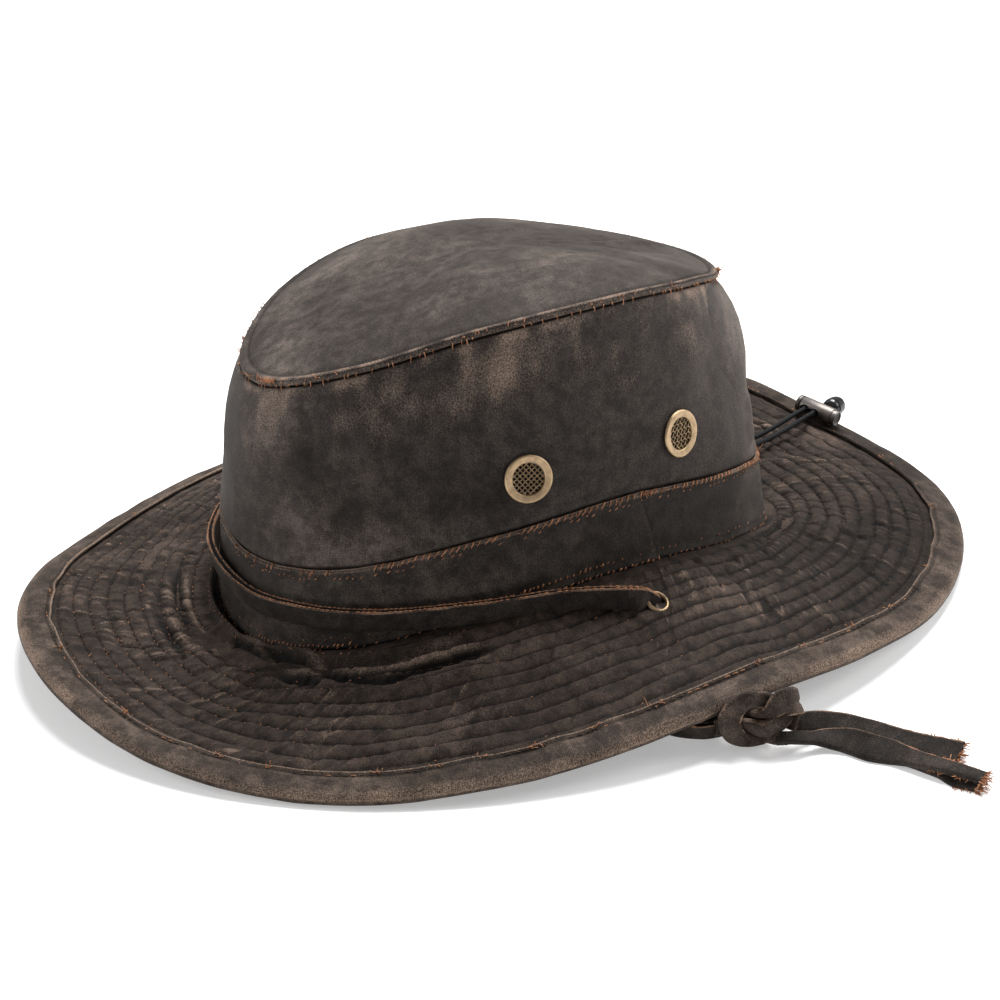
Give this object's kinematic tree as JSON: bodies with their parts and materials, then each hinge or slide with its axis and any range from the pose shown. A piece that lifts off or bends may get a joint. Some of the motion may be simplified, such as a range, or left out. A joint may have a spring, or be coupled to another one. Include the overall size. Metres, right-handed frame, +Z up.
{
  "type": "bush hat",
  "caption": "Soft weathered cloth bush hat with a domed crown, lapped band, wide stitched wavy brim, screened vents, knotted chin strap and a back sizing cord with a spring lock.",
  "frame": {"origin": "on the floor, under the middle of the hat's own footprint (strap and sizing cord not counted)", "axes": "-Y towards the front of the hat, +X towards the wearer's left, +Z up"},
  "size_m": [0.3896, 0.3667, 0.1369],
  "materials": {
    "cloth": "weathered waxed cotton, dark brown with paler rubbed clouds, matt",
    "binding": "the same cloth rubbed paler brown, matt",
    "strap": "folded waxed cotton tape with frayed copper-brown edges, matt",
    "brass": "antique brass, dull, darker in the recesses",
    "elastic": "black braided elastic with a slight sheen",
    "gunmetal": "dark gunmetal plating with worn bright edges",
    "bead": "black, semi-gloss"
  },
  "bodies": {
    "hat": {"crown_top": "cloth", "crown_wall": "cloth", "hat_band": "cloth", "brim": "cloth", "brim_binding": "binding", "strap_front": "strap", "strap_far_run": "strap", "strap_near_run": "strap", "strap_knot": "strap", "strap_tail_upper": "strap", "strap_tail_lower": "strap", "grommet_near": "brass", "grommet_far": "brass", "vent_ring_left_front": "brass", "vent_screen_left_front": "brass", "vent_ring_left_back": "brass", "vent_screen_left_back": "brass", "vent_ring_right_front": "brass", "vent_screen_right_front": "brass", "vent_ring_right_back": "brass", "vent_screen_right_back": "brass", "cord_strand_near": "elastic", "cord_strand_far": "elastic", "cord_lock_barrel": "gunmetal", "cord_end_bead": "bead"},
    "plunger": {"cord_lock_plunger": "gunmetal"}
  },
  "joints": [
    {"name": "lock_press", "type": "slide", "parent": "hat", "child": "plunger", "axis": [-0.9387, -0.287, 0.1908], "range_m": [0, 0.0018], "stiffness_N_per_m": 300, "springref_m": -0.003}
  ]
}
